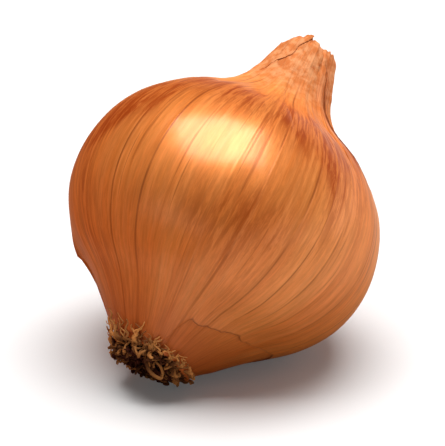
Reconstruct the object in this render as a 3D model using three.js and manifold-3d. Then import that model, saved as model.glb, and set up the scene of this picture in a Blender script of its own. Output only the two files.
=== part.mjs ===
// A brown onion, whole and dry, lying on its side as it came out of the sack.
//
// It is two grown pieces: the bulb in its papery skin, which narrows into the dry neck, and the
// tuft of dead roots on the basal plate. Millimetres. Both are shaped about the onion's own axis,
// with the neck at +Z and the front at +X, and then laid over: +Z is up and z = 0 is the table.

import * as THREE from 'three';
import { mergeVertices } from 'three/addons/utils/BufferGeometryUtils.js';
import loadManifold from 'manifold-3d';

const wasm = await loadManifold();
wasm.setup();

// ---------------------------------------------------------------- driving dimensions

// The skin's outline from the basal plate to the mouth of the neck: height from the widest
// girth, and radius.
const OUTLINE = [
  [-35, 9.8], [-30.5, 13.5], [-24, 20.3], [-17.5, 28.6], [-9, 34.2], [0, 36], [9, 34.6],
  [17, 30.5], [23.5, 23.8], [28.5, 15.6], [33.5, 10.9], [41, 7.9], [48, 5.8],
];

// How it lies: turned about its own axis, leaned over from upright, and headed round on the table.
const ROLL = -144.8;
const LEAN = 47;
const HEADING = 52.4;
const FLAT_DEPTH = 0.5; // how far the skin is pressed flat where it rests

// One dry skin is this thick. Its edges lift a little where it has torn.
const SKIN = 0.45;
const LIP_WIDTH = 4;
const UPPER_LIP = 0.2;
const LOWER_LIP = [ // angle round the bulb, and lift
  [-180, 0.35], [-90, 0.35], [0, 0.1], [12, 0.3], [48, 0.2], [70, 0.05], [110, 0.1], [150, 0.35],
];
const LIP_FROM = [2, 20]; // how high up the lower edge has to be for its lip
const FLAP_FROM = [18.5, 22]; // the lower flap comes loose between these distances up the skin
const LOWER_FLAP = { angle: -104, spread: 7, lift: 1, width: 9 };
const SHOULDER_FLAP = { angle: 60, spread: 9, lift: 0.2, width: 7 };
const EDGE_STEP = 0.25; // how far along the skin a torn edge takes to drop by its thickness

// The torn lower edge of the outermost skin: angle round the bulb, and distance up the skin.
const TORN_EDGE = [
  [-180, 3], [-155, 9], [-135, 22], [-118, 23.4], [-106, 22], [-101.5, 21], [-100.6, 17],
  [-100, 11], [-99, 5], [-96, 1.6], [-40, 1.4], [-2, 1.4], [5, 4.4], [12, 11], [23, 10.8], [36, 12.8],
  [48, 14], [63, 14.8], [71, 17], [84, 19], [104, 18], [125, 10], [142, 2], [160, 2],
];

// The torn upper edge of the outermost skin, which has split far down over the right shoulder,
// and the ragged cut of the neck above it.
const SLEEVE_EDGE = [
  [-180, 93], [-130, 97], [-105, 100], [-80, 100.5], [-58, 97], [-43, 94], [-20, 92.5],
  [-10, 92.8], [5, 95], [18, 97.2], [33, 99.2], [45, 98], [52, 84], [55.5, 77], [59, 73],
  [65, 70], [76, 69], [92, 70], [115, 80], [140, 92],
];
const NECK_END = [
  [-180, 103.5], [-140, 102], [-110, 101.5], [-83, 102.2], [-49, 103.2], [-15, 104.4],
  [19, 103.6], [48, 103.2], [83, 103.8], [115, 102], [150, 103.6],
];

// Relief of the skin: veins from neck to root, pleats gathered into the neck, and a girth that
// isn't quite round.
const VEINS = 24;
const VEIN_RELIEF = 0.12;
const PLEATS = 13;
const PLEAT_RELIEF = 0.4;
const PLEATS_FROM = 70;
const OUT_OF_ROUND = 0.3;
const OUT_OF_ROUND_TURN = 2.1; // radians
const UNDERSIDE = { angle: 100, spread: 30, from: 6, to: 28, lift: 0.8 }; // fuller low down here

// The dry leaf that wraps the neck from the left: its free edge climbs from its foot to its tip.
const WRAP = { foot: [-45, 94], tip: [-15, 102.5], lift: 0.5, softness: 0.8 };

// The neck's mouth, and the recess in the base that the basal plate sits in.
const NECK_WALL = 1.5;
const MOUTH_DEPTH = 4;
const RECESS_RADIUS = 8.5;
const RECESS_FLOOR = -33.4;
const GAP = 0.4; // between the roots and the skin

// The skin hangs on below the base on the side that faces the table: angle, and how far.
const COLLAR = [[-180, 0], [25, 0], [55, 1], [95, 0.8], [125, 0.6], [155, 0]];
const COLLAR_WALL = 0.9;

// The basal plate and its roots.
const PLATE_RADIUS = RECESS_RADIUS - GAP;
const PLATE_THICKNESS = 3;
const ROOTS = 36;
const ROOT_THICKNESS = 1;
const TUFT_RADIUS = 10.6;
const TUFT_END = -39.4;
const TUFT_SHARE = [[-180, 1], [0, 1], [25, 0.9], [50, 0.7], [100, 0.6], [150, 0.85]]; // by angle
const CLIMBERS = [[-62, 5], [-48, 6.5], [-36, 4.5], [-24, 3.5], [26, 3], [-130, 7]];
const LOOP = { angle: 14, height: -38.4, radius: 6.6, width: 4.8, length: 3.4 };

const COLUMNS = 96;

// ---------------------------------------------------------------- small tools

const radians = THREE.MathUtils.degToRad;

// Repeatable draws between -1 and 1, each root with its own run of numbers.
function draws(seed) {
  let state = seed * 7919 + 17;
  return () => {
    state = (state * 16807) % 2147483647;
    return (state / 2147483647) * 2 - 1;
  };
}

// A value all round the onion, in straight lines through [angle, value] points.
function roundabout(points) {
  return (angle) => {
    const turned = THREE.MathUtils.euclideanModulo(angle - points[0][0], 360) + points[0][0];
    let i = points.length - 1;
    while (points[i][0] > turned) i -= 1;
    const [from, low] = points[i];
    const [to, high] = i + 1 < points.length ? points[i + 1] : [points[0][0] + 360, points[0][1]];
    return THREE.MathUtils.lerp(low, high, (turned - from) / (to - from));
  };
}

function solidOf(geometry) {
  const bare = geometry.clone();
  bare.deleteAttribute('normal');
  bare.deleteAttribute('uv');
  const merged = mergeVertices(bare, 1e-4);
  return new wasm.Manifold(new wasm.Mesh({
    numProp: 3,
    vertProperties: new Float32Array(merged.attributes.position.array),
    triVerts: new Uint32Array(merged.index.array),
  }));
}

function geometryOf(solid) {
  const mesh = solid.getMesh();
  const geometry = new THREE.BufferGeometry();
  geometry.setAttribute('position', new THREE.BufferAttribute(mesh.vertProperties, 3));
  geometry.setIndex(new THREE.BufferAttribute(mesh.triVerts, 1));
  return geometry;
}

// The largest body of a solid, without the loose scraps that a cut leaves.
function wholePiece(solid) {
  const bodies = solid.decompose();
  return bodies.reduce((best, body) => (body.volume() > best.volume() ? body : best));
}

// ---------------------------------------------------------------- how the onion lies

const outline = new THREE.SplineCurve(OUTLINE.map(([height, radius]) => (
  new THREE.Vector2(height, radius)
)));
const SKIN_LENGTH = outline.getLength();

// The lowest point of the leaned outline comes down on the table at the origin.
function laidOver() {
  const lean = radians(LEAN);
  const [forward, low] = outline.getPoints(600).reduce((lowest, { x: height, y: radius }) => {
    const z = height * Math.cos(lean) - radius * Math.sin(lean);
    return z < lowest[1] ? [height * Math.sin(lean) + radius * Math.cos(lean), z] : lowest;
  }, [0, Infinity]);
  return new THREE.Matrix4().makeRotationZ(radians(HEADING))
    .multiply(new THREE.Matrix4().makeTranslation(-forward, 0, -low - FLAT_DEPTH))
    .multiply(new THREE.Matrix4().makeRotationY(lean))
    .multiply(new THREE.Matrix4().makeRotationZ(radians(ROLL)));
}

const LAID = laidOver();
const table = solidOf(new THREE.BoxGeometry(300, 300, 20).translate(0, 0, -10));

// ---------------------------------------------------------------- bulb

const tornEdge = roundabout(TORN_EDGE);
const sleeveEdge = roundabout(SLEEVE_EDGE);
const neckEnd = roundabout(NECK_END);
const lowerLip = roundabout(LOWER_LIP);
const collar = roundabout(COLLAR);
const tuftShare = roundabout(TUFT_SHARE);

// How far the wrapping leaf stands off the neck. Away from its free edge it melts into the skin.
function wrapLift(angle, along) {
  const turned = angle > 180 ? angle - 360 : angle;
  const [footAngle, footAlong] = WRAP.foot;
  const [tipAngle, tipAlong] = WRAP.tip;
  const share = THREE.MathUtils.clamp((turned - footAngle) / (tipAngle - footAngle), 0, 1);
  const edge = THREE.MathUtils.lerp(footAlong, tipAlong, share);
  const soft = WRAP.softness + Math.max(0, footAngle - turned) * 0.15;
  return WRAP.lift * THREE.MathUtils.smoothstep(along, edge - soft, edge + soft)
    * THREE.MathUtils.smoothstep(turned, -170, -120)
    * (1 - THREE.MathUtils.smoothstep(turned, tipAngle, tipAngle + 8));
}

// How far the skin stands off its outline: girth, veins and, towards the neck, deepening pleats.
function relief(angle, along) {
  const round = radians(angle);
  const girth = OUT_OF_ROUND * Math.cos(2 * round + OUT_OF_ROUND_TURN)
    * Math.sin(Math.PI * along / SKIN_LENGTH);
  const { angle: under, spread, from, to, lift } = UNDERSIDE;
  const full = lift * Math.exp(-(((angle - under) / spread) ** 2))
    * THREE.MathUtils.smoothstep(along, 0, from) * (1 - THREE.MathUtils.smoothstep(along, from * 2, to));
  const fade = THREE.MathUtils.smoothstep(along, 2, 20)
    * (1 - THREE.MathUtils.smoothstep(along, PLEATS_FROM, 85));
  const veins = VEIN_RELIEF * Math.cos(VEINS * round) * fade;
  const gather = THREE.MathUtils.smoothstep(along, PLEATS_FROM, 92);
  const twist = radians(along - PLEATS_FROM) * 0.6;
  const pleats = PLEAT_RELIEF * gather * (Math.cos(PLEATS * (round + twist)) * 0.6
    + Math.cos(5 * round - 3 * twist + 1) * 0.4);
  return girth + full + veins + pleats + wrapLift(angle, along);
}

// A point of the skin, lifted off its outline square to it.
function onSkin(angle, along, lift) {
  const share = THREE.MathUtils.clamp(along / SKIN_LENGTH, 0, 1);
  const { x: height, y: radius } = outline.getPointAt(share);
  const { x: rise, y: spread } = outline.getTangentAt(share);
  const out = radius + rise * lift;
  return new THREE.Vector3(
    out * Math.cos(radians(angle)),
    out * Math.sin(radians(angle)),
    height - spread * lift,
  );
}

// Rings of the bulb from the recess in its base, up the skin and into the mouth of the neck.
// Three bands of rings follow the torn edges: the skin below, the outermost skin, the inner neck.
function bulbRings(grown) {
  const bands = [
    { rings: 5, from: () => 0, to: tornEdge, lift: () => -SKIN },
    { rings: 27, from: tornEdge, to: sleeveEdge, lift: lipLift },
    { rings: 5, from: sleeveEdge, to: neckEnd, lift: () => -SKIN * 1.6 },
  ];
  const rings = [];
  const add = (point) => rings.push(Array.from({ length: COLUMNS }, (_, column) => (
    point((column * 360) / COLUMNS)
  )));
  const inside = (radius, height) => (angle) => new THREE.Vector3(
    radius * Math.cos(radians(angle)),
    radius * Math.sin(radians(angle)),
    height(angle),
  );
  add(inside(RECESS_RADIUS - grown, () => RECESS_FLOOR - grown));
  const hem = (angle) => OUTLINE[0][0] - collar(angle) - grown;
  add(inside(RECESS_RADIUS - grown, hem));
  add(inside(RECESS_RADIUS + COLLAR_WALL + grown, hem));
  for (const { rings: count, from, to, lift } of bands) {
    for (let i = 0; i < count; i += 1) {
      add((angle) => {
        const start = from(angle) + EDGE_STEP / 2;
        const end = to(angle) - EDGE_STEP / 2;
        const along = THREE.MathUtils.lerp(start, end, i / (count - 1));
        const lifted = lift(angle, along, start, end) + relief(angle, along);
        return onSkin(angle, along, lifted + grown);
      });
    }
  }
  const mouth = OUTLINE.at(-1)[1] - NECK_WALL;
  const rim = (angle) => onSkin(angle, neckEnd(angle), 0).z - 0.3;
  add(inside(mouth - SKIN, rim));
  add(inside(mouth * 0.72, (angle) => rim(angle) - MOUTH_DEPTH));
  add(inside(mouth * 0.4, (angle) => rim(angle) - MOUTH_DEPTH * 0.3));
  return rings;
}

// The lift of a flap, away from the edge it has come loose at.
function flapLift({ angle: middle, spread, lift, width }, angle, away) {
  const off = THREE.MathUtils.euclideanModulo(angle - middle + 180, 360) - 180;
  return lift * Math.exp(-((off / spread) ** 2)) * Math.max(0, 1 - (away / width) ** 2) ** 2;
}

// The outermost skin curls up a little along its torn edges, and more at its two flaps. The lower
// flap bulges above the place where the skin is torn off high up, and beside the tear it dies out.
function lipLift(angle, along, start, end) {
  const lower = lowerLip(angle) * Math.max(0, 1 - (along - start) / LIP_WIDTH) ** 2;
  const upper = UPPER_LIP * Math.max(0, 1 - (end - along) / LIP_WIDTH) ** 2;
  const lowerFlap = flapLift(LOWER_FLAP, angle, Math.max(0, along - FLAP_FROM[1]));
  return lower * THREE.MathUtils.smoothstep(start, ...LIP_FROM)
    + lowerFlap * THREE.MathUtils.smoothstep(along, ...FLAP_FROM)
    + upper + flapLift(SHOULDER_FLAP, angle, end - along);
}

// Closes a stack of rings with a pole below and a pole above. Each four-sided gap is split along
// its shorter diagonal, so that the rings that lean along a torn edge stay smooth.
function closedRings(rings, below, above) {
  const points = [below, ...rings.flat(), above];
  const at = (ring, column) => 1 + ring * COLUMNS + (column % COLUMNS);
  const index = [];
  for (let column = 0; column < COLUMNS; column += 1) {
    index.push(0, at(0, column + 1), at(0, column));
    for (let ring = 0; ring + 1 < rings.length; ring += 1) {
      const [near, beside] = [at(ring, column), at(ring, column + 1)];
      const [over, far] = [at(ring + 1, column), at(ring + 1, column + 1)];
      if (points[near].distanceTo(points[far]) < points[beside].distanceTo(points[over])) {
        index.push(near, beside, far, near, far, over);
      } else {
        index.push(near, beside, over, beside, far, over);
      }
    }
    index.push(at(rings.length - 1, column), at(rings.length - 1, column + 1), points.length - 1);
  }
  const geometry = new THREE.BufferGeometry().setFromPoints(points);
  geometry.setIndex(index);
  return geometry;
}

// The bulb's solid, grown outwards all over by a margin where something has to stay clear of it.
function bulbSolid(grown = 0) {
  const rings = bulbRings(grown);
  const below = new THREE.Vector3(0, 0, RECESS_FLOOR - grown);
  const last = rings.at(-1);
  const above = new THREE.Vector3(0, 0, last[0].z - 1);
  return solidOf(closedRings(rings, below, above).applyMatrix4(LAID));
}

const bulb = new THREE.Mesh(
  geometryOf(bulbSolid().subtract(table)),
  new THREE.MeshStandardMaterial({ color: 0xcd783c, roughness: 0.35, metalness: 0 }),
);
bulb.name = 'bulb';

// ---------------------------------------------------------------- roots

// A point about the onion's axis, laid over with it and kept just above the table.
function rootPoint(radius, angle, height) {
  const point = new THREE.Vector3(
    radius * Math.cos(radians(angle)),
    radius * Math.sin(radians(angle)),
    height,
  ).applyMatrix4(LAID);
  point.z = Math.max(point.z, ROOT_THICKNESS * 0.3);
  return point;
}

// One root: a five-sided strand along a smooth path.
function strand(points, steps) {
  const section = new THREE.Shape(Array.from({ length: 5 }, (_, corner) => (
    new THREE.Vector2(ROOT_THICKNESS / 2, 0).rotateAround(new THREE.Vector2(), radians(corner * 72))
  )));
  const extrudePath = new THREE.CatmullRomCurve3(points);
  return solidOf(new THREE.ExtrudeGeometry(section, { steps, extrudePath }));
}

// Roots grow all over the plate in a sunflower spiral. Those in the middle point down and curl;
// those near the rim turn outwards and back up round the base.
function tuftRoot(number) {
  const draw = draws(number + 1);
  const share = Math.sqrt((number + 0.5) / ROOTS);
  const angle = number * 137.5 + draw() * 8;
  const sway = draw() * 26;
  const depth = THREE.MathUtils.lerp(TUFT_END, TUFT_END + 1.8, share) + draw() * 0.4;
  const full = THREE.MathUtils.lerp(TUFT_RADIUS * 0.45, TUFT_RADIUS, share) + draw() * 0.6;
  const reach = full * tuftShare(angle);
  const end = THREE.MathUtils.lerp(TUFT_END + 0.4, TUFT_END + 5, share ** 2) + draw() * 0.5;
  const start = share * (PLATE_RADIUS - 1);
  return strand([
    rootPoint(start, angle, OUTLINE[0][0] - 0.8),
    rootPoint(start + 0.6, angle + sway * 0.3, (OUTLINE[0][0] + depth) / 2 - 0.4),
    rootPoint(THREE.MathUtils.lerp(start, reach, 0.55), angle + sway, depth),
    rootPoint(reach, angle + sway * 0.4, (depth + end) / 2),
    rootPoint(reach - 0.5, angle - sway * 0.4, end),
  ], 6);
}

// A root that leaves the rim of the plate and lies up against the skin.
function climber([angle, along]) {
  const reach = onSkin(angle, 0, ROOT_THICKNESS + GAP);
  const against = onSkin(angle + 4, along * 0.5, ROOT_THICKNESS + GAP);
  const tip = onSkin(angle - 3, along, ROOT_THICKNESS + GAP * 2);
  return strand([
    rootPoint(PLATE_RADIUS - 1, angle, OUTLINE[0][0] - 1),
    rootPoint(Math.hypot(reach.x, reach.y), angle, reach.z - 1.6),
    rootPoint(Math.hypot(against.x, against.y), angle + 4, against.z),
    rootPoint(Math.hypot(tip.x, tip.y), angle - 3, tip.z),
  ], 5);
}

// The one root that dried in a ring at the front of the tuft.
function loopRoot() {
  const points = [rootPoint(PLATE_RADIUS - 1.5, LOOP.angle, OUTLINE[0][0] - 1)];
  for (let turn = 0; turn <= 330; turn += 55) {
    const across = Math.cos(radians(turn + 90)) * LOOP.width / 2;
    const down = Math.sin(radians(turn + 90)) * LOOP.length / 2;
    const sideways = THREE.MathUtils.radToDeg(across / LOOP.radius);
    points.push(rootPoint(LOOP.radius + turn / 400, LOOP.angle + sideways, LOOP.height + down));
  }
  return strand(points, 12);
}

function basalPlate() {
  const top = RECESS_FLOOR - GAP;
  const bottom = top - PLATE_THICKNESS;
  const profile = [[0, bottom - 0.8], [5, bottom - 0.4], [PLATE_RADIUS, bottom + 0.8],
    [PLATE_RADIUS, top], [0, top]].map(([radius, height]) => new THREE.Vector2(radius, height));
  const turned = new THREE.LatheGeometry(profile, 24).rotateX(Math.PI / 2);
  return solidOf(turned.applyMatrix4(LAID));
}

function rootsSolid() {
  const roots = [basalPlate(), loopRoot(), ...CLIMBERS.map(climber)];
  for (let number = 0; number < ROOTS; number += 1) roots.push(tuftRoot(number));
  const joined = roots.reduce((all, root) => all.add(root));
  return wholePiece(joined.subtract(bulbSolid(GAP)).subtract(table));
}

const roots = new THREE.Mesh(
  geometryOf(rootsSolid()),
  new THREE.MeshStandardMaterial({ color: 0x8a6236, roughness: 0.9, metalness: 0 }),
);
roots.name = 'roots';

// ---------------------------------------------------------------- the onion

const onion = new THREE.Group();
onion.add(bulb, roots);

export default onion;
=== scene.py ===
import bpy
import numpy as np
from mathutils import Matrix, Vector


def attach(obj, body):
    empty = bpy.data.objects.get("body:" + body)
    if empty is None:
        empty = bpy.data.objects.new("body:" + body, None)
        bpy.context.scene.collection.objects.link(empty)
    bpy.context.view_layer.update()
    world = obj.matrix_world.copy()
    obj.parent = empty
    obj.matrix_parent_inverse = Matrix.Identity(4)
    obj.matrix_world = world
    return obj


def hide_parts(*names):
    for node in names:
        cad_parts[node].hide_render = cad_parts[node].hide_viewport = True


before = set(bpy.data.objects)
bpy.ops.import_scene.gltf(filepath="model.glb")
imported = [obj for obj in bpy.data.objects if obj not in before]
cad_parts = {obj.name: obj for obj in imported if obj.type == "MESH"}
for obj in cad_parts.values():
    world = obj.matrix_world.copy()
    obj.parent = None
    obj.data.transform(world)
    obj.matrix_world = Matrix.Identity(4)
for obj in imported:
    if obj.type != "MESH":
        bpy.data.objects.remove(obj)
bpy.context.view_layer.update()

# ---------------------------------------------------------------- inner skin
# The second dry skin, which is the whole shape of the bulb: it shows below the torn edge of the
# outermost skin and as the inner sheath of the neck. It grew over the swelling bulb, gathers into
# pleats where the neck withered, and is open at the base for the basal plate.

MM = 0.001
OUTLINE = np.array([  # height from the widest girth, and radius, mm, from the base to the neck
    (-35, 9.8), (-30.5, 13.5), (-24, 20.3), (-17.5, 28.6), (-9, 34.2), (0, 36), (9, 34.6),
    (17, 30.5), (23.5, 23.8), (28.5, 15.6), (33.5, 10.9), (41, 7.9), (48, 5.8),
])
ROLL, LEAN, HEADING = np.radians((-144.8, 47.0, 52.4))  # how it lies on the table
FLAT_DEPTH = 0.5  # mm of skin pressed flat under it
UNDERSIDE = 100  # degrees round the bulb, from its front, of the side that faces the table
SKIN = 0.45  # mm from one dry skin to the next
VEINS = np.array([  # degrees round the bulb
    -79, -65, -48, -34, -19, -5, 7, 25, 34, 43, 65, 80, 96, 110, 127, 141, 156, 170, 187, 201,
    216, 230, 246, 262,
])
TORN_EDGE = [  # degrees round the bulb, mm up the skin from the base
    (-180, 3), (-155, 9), (-135, 22), (-118, 23.4), (-106, 22), (-101.5, 21), (-100.6, 17),
    (-100, 11), (-99, 5), (-96, 1.6), (-40, 1.4), (-2, 1.4), (5, 4.4), (12, 11), (23, 10.8),
    (36, 12.8), (48, 14), (63, 14.8), (71, 17), (84, 19), (104, 18), (125, 10), (142, 2), (160, 2),
]
SLEEVE_EDGE = [  # the upper torn edge, in the same terms
    (-180, 93), (-130, 97), (-105, 100), (-80, 100.5), (-58, 97), (-43, 94), (-20, 92.5),
    (-10, 92.8), (5, 95), (18, 97.2), (33, 99.2), (45, 98), (52, 84), (55.5, 77), (59, 73),
    (65, 70), (76, 69), (92, 70), (115, 80), (140, 92),
]
NECK_END = [  # where the inner skin ends, in the same terms
    (-180, 103.5), (-140, 102), (-110, 101.5), (-83, 102.2), (-49, 103.2), (-15, 104.4),
    (19, 103.6), (48, 103.2), (83, 103.8), (115, 102), (150, 103.6),
]
# How dark the torn edge's line is: its own brown on the outermost skin, and a painted shadow beside it
# on the inner skin.
LINE_SHOWS = [  # degrees round the bulb, how dark the torn edge's line is
    (-180, 1), (-122, 1), (-112, 0.1), (-94, 0.1), (-86, 0.8), (0, 0.2), (9, 0.3), (13, 1),
    (45, 0.9), (66, 0.2), (90, 1),
]
MOUTH = [  # mm deep in the neck, share of its radius: down one fold, up the next and to the middle
    (0.3, 0.70), (1.5, 0.62), (3.2, 0.55), (2.6, 0.40), (0.9, 0.30), (1.4, 0.15),
]
RECESS_RADIUS, RECESS_ROOF = 8.5, -33.4  # mm, of the hollow in the base that holds the plate
HEM_RADIUS, HEM = 9.4, -35  # mm, of the skin's lowest rim, and its height
COLLAR = [(-180, 0), (25, 0), (55, 1), (95, 0.8), (125, 0.6), (155, 0)]  # mm that it hangs lower
# Dark streaks on the skin. Some are stains that it has, such as the streaks that fan out from the neck.
# Others are painted: a painted reflection in the dark band along the upper left edge and in the dark
# patch low in the middle of the front, and painted shade in the broad band round the shoulder and in
# the line at the tear over the right shoulder.
STAINS_AND_SHADE = np.array([  # degrees round, mm up, degrees wide, mm long, degrees of lean per mm, depth
    (-61, 55, 8, 12, 0.8, 2.2), (-47.5, 57, 2.6, 7, 0.2, 1.0), (-67, 35, 3, 9, 0.1, 0.7),
    (-94, 32, 26, 28, 0, 0.42), (48, 68, 20, 14, 0, 0.6), (18, 69, 28, 8, 0, 1.3),
    (-32, 70, 25, 8, 0, 1.05), (-38, 71, 14, 3, 3, 0.7), (-60, 22, 16, 12, 0, 0.3),
    (-7, 37, 14, 8, 0, 0.45), (11, 38, 15, 10, 0, 0.65), (10, 66, 2.6, 8, -1.3, 0.55),
    (26, 67, 3, 9, -0.5, 0.5), (-64, 52, 4, 7, 1.0, 0.4), (-77, 53, 11, 13, 0.8, 1.2),
    (-46, 74, 16, 4, 3, 0.8), (17, 69, 2, 7, -1.0, 0.5), (34, 60, 7, 14, -0.2, 0.6),
    (55, 77, 3, 7, -0.9, 1.4), (2, 76, 7, 7, -1.0, 0.5), (18, 78, 9, 6, -0.6, 0.5),
    (36, 78, 6, 9, -0.6, 0.6), (-10, 70, 3, 6, -0.8, 0.6), (48, 92, 15, 11, 0, 0.8),
    (120, 60, 6, 20, 0.2, 0.5), (170, 50, 5, 16, 0.1, 0.5), (-130, 62, 7, 14, 0.4, 0.6),
    (-172, 60, 4, 12, 0.5, 0.6),
])
VEIN_BROWN = (0.25, 0.055, 0.01, 1)
STAIN_AND_SHADE_BROWN = (0.42, 0.065, 0.008, 1)
TORN_BROWN_AND_SHADOW = (0.16, 0.03, 0.006, 1)
# The dry neck's darker colour falls in the hollows of its crinkle bump, painted shade in its creases,
# and the tan on its ridges.
DRY_CREASE_SHADE, DRY_TAN = (0.56, 0.16, 0.044, 1), (0.72, 0.315, 0.14, 1)


def smooth(low, high, value):
    """0 below low, 1 above high, and the smoothstep 3x^2 - 2x^3 between them. With low above high
    it falls instead."""
    x = np.clip((value - low) / (high - low), 0, 1)
    return x * x * (3 - 2 * x)


def bell(value, middle, wide):
    """1 at the middle, falling off both ways as exp(-x^2), where x counts widths."""
    return np.exp(-(((value - middle) / wide) ** 2))


def spline(points, places):
    """The Catmull-Rom curve through points [..., points, values], at places counted in points: a
    cubic between neighbours, with half the step across each as its slope."""
    last = points.shape[-2] - 1
    i = np.minimum(places.astype(int), last - 1)
    f = (places - i)[:, None]
    before, start = points[..., np.maximum(i - 1, 0), :], points[..., i, :]
    end, after = points[..., i + 1, :], points[..., np.minimum(i + 2, last), :]
    go, stop = (end - before) / 2, (after - start) / 2
    curve = (2 * start - 2 * end + go + stop) * f**3 + (3 * end - 3 * start - 2 * go - stop) * f**2
    return curve + (go * f + start)


def traced_outline():
    """Distance along the outline, height with radius, and unit tangent, at close steps."""
    curve = spline(OUTLINE, np.linspace(0, len(OUTLINE) - 1, 4000))
    steps = np.linalg.norm(np.diff(curve, axis=0), axis=1)
    slope = np.gradient(curve, axis=0)
    slope /= np.linalg.norm(slope, axis=1)[:, None]
    return np.concatenate(([0], np.cumsum(steps))), curve, slope


ALONG, CURVE, SLOPE = traced_outline()
SKIN_LENGTH = ALONG[-1]


def radius_at(along):
    """The outline's radius at a distance along it."""
    return np.interp(along, ALONG, CURVE[:, 1])


def around(radius, angle, height):
    """Points about the onion's axis in its own frame, neck up and front towards +X."""
    turn = np.radians(angle)
    return np.stack(np.broadcast_arrays(radius * np.cos(turn), radius * np.sin(turn), height), -1)


def on_skin(angle, along, lift):
    """Points of the skin in the onion's own frame: the outline at that distance, moved square to
    itself by the lift, and turned to the angle, in degrees."""
    height, radius = (np.interp(along, ALONG, CURVE[:, k]) for k in (0, 1))
    rise, spread = (np.interp(along, ALONG, SLOPE[:, k]) for k in (0, 1))
    return around(radius + rise * lift, angle, height - spread * lift)


def turning(axis, turn):
    """The 3x3 matrix that turns about +Y (axis 1) or +Z (axis 2)."""
    c, s = np.cos(turn), np.sin(turn)
    if axis == 2:
        return np.array(((c, -s, 0), (s, c, 0), (0, 0, 1)))
    return np.array(((c, 0, s), (0, 1, 0), (-s, 0, c)))


def lying():
    """Turn and shift that lay the onion over: rolled, leaned and headed, with the lowest point of
    the leaned outline at the origin and pressed FLAT_DEPTH into the table."""
    low = CURVE[:, 0] * np.cos(LEAN) - CURVE[:, 1] * np.sin(LEAN)
    lowest = low.argmin()
    forward = CURVE[lowest, 0] * np.sin(LEAN) + CURVE[lowest, 1] * np.cos(LEAN)
    turn = turning(2, HEADING) @ turning(1, LEAN) @ turning(2, ROLL)
    shift = turning(2, HEADING) @ (-forward, 0, -low[lowest] - FLAT_DEPTH)
    return turn, shift


TURN, SHIFT = lying()


def laid(points, clear=0.0):
    """Points of the onion's own frame, mm, laid over on the table. What would come lower than the
    clearance is pressed flat at that height."""
    placed = points @ TURN.T + SHIFT
    placed[..., 2] = np.maximum(placed[..., 2], clear)
    return placed


def roundabout(points, angle):
    """A value all round the onion, in straight lines through (angle, value) points."""
    places, values = np.array(points, float).T
    turned = (angle - places[0]) % 360 + places[0]
    return np.interp(turned, np.append(places, places[0] + 360), np.append(values, values[0]))


def ripple(angle, along, cells, step, seed):
    """Smooth random waves between -1 and 1: a seeded lattice of so many cells round the onion and
    a row every step mm, blended with smoothstep weights and closed on itself."""
    rows = int(SKIN_LENGTH * 1.3 / step) + 4
    lattice = np.random.default_rng(seed).uniform(-1, 1, (rows, cells))
    x, y = angle / 360 * cells, along / step + 1
    i, j = np.floor(x).astype(int), np.clip(np.floor(y).astype(int), 0, rows - 2)
    fx, fy = smooth(0, 1, x - i), smooth(0, 1, y - j)
    low = lattice[j, i % cells] * (1 - fx) + lattice[j, (i + 1) % cells] * fx
    high = lattice[j + 1, i % cells] * (1 - fx) + lattice[j + 1, (i + 1) % cells] * fx
    return low * (1 - fy) + high * fy


def vein_place(angle):
    """Which vein an angle is at, as a number that counts one from each vein to the next."""
    turned = (angle - VEINS[0]) % 360 + VEINS[0]
    return np.interp(turned, np.append(VEINS, VEINS[0] + 360), np.arange(len(VEINS) + 1))


def relief(angle, along):
    """How far the skin stands off its outline, mm: a girth that isn't quite round and is fuller
    low on the underside, a bell for a rib on each vein, and pleats, cosines that gather and twist
    over the shoulder and flatten into the neck. Between them ripples crease the pleats, crumple
    the neck, and leave waves and a sag on the body."""
    girth = 0.3 * np.cos(2 * np.radians(angle) + 2.1) * np.sin(np.pi * along / SKIN_LENGTH)
    fuller = 0.8 * bell(angle, UNDERSIDE, 30) * smooth(0, 6, along) * (1 - smooth(12, 28, along))
    place = vein_place(angle)
    off = np.abs(place - np.round(place)) * 2 * np.pi * radius_at(along) / len(VEINS)
    body = smooth(4, 20, along) * (1 - smooth(70, 88, along))
    rib = body * (0.04 * bell(off, 0, 0.4) + 0.015 * np.cos(2 * np.pi * place))
    gather = smooth(60, 82, along) * (1 - 0.5 * smooth(86, 96, along))
    twist = (along - 70) * 0.6
    pleats = 0.2 * np.cos(np.radians(13 * (angle + twist)))
    pleats = pleats + 0.14 * np.cos(np.radians(5 * angle - 3 * twist + 57))
    fold = ripple(angle + twist, along, cells=34, step=34, seed=3)
    crease = 0.22 * fold - 0.4 * (1 - np.abs(fold)) ** 7
    crease = crease + 0.1 * ripple(angle, along, cells=90, step=16, seed=4)
    crumple = 0.17 * ripple(angle, along, cells=22, step=2.6, seed=5)
    crumple = crumple + 0.08 * ripple(angle, along, cells=46, step=1.6, seed=25)
    waves = 0.03 * ripple(angle, along, cells=64, step=20, seed=7)
    waves = waves + 0.1 * ripple(angle, along, cells=30, step=11, seed=17)
    sag = 0.16 * ripple(angle, along, cells=9, step=22, seed=6)
    soft = crumple * smooth(84, 94, along) + body * (waves + sag)
    return girth + fuller + rib + gather * (pleats + crease) + soft


def round_the_bulb(per_vein):
    """Angles of the columns: so many from each vein to the next, close together at the veins."""
    share = np.arange(per_vein) / per_vein
    share -= 0.7 * np.sin(2 * np.pi * share) / (2 * np.pi)
    places = (np.arange(len(VEINS))[:, None] + share).ravel()
    return np.interp(places, np.arange(len(VEINS) + 1), np.append(VEINS, VEINS[0] + 360))


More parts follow.
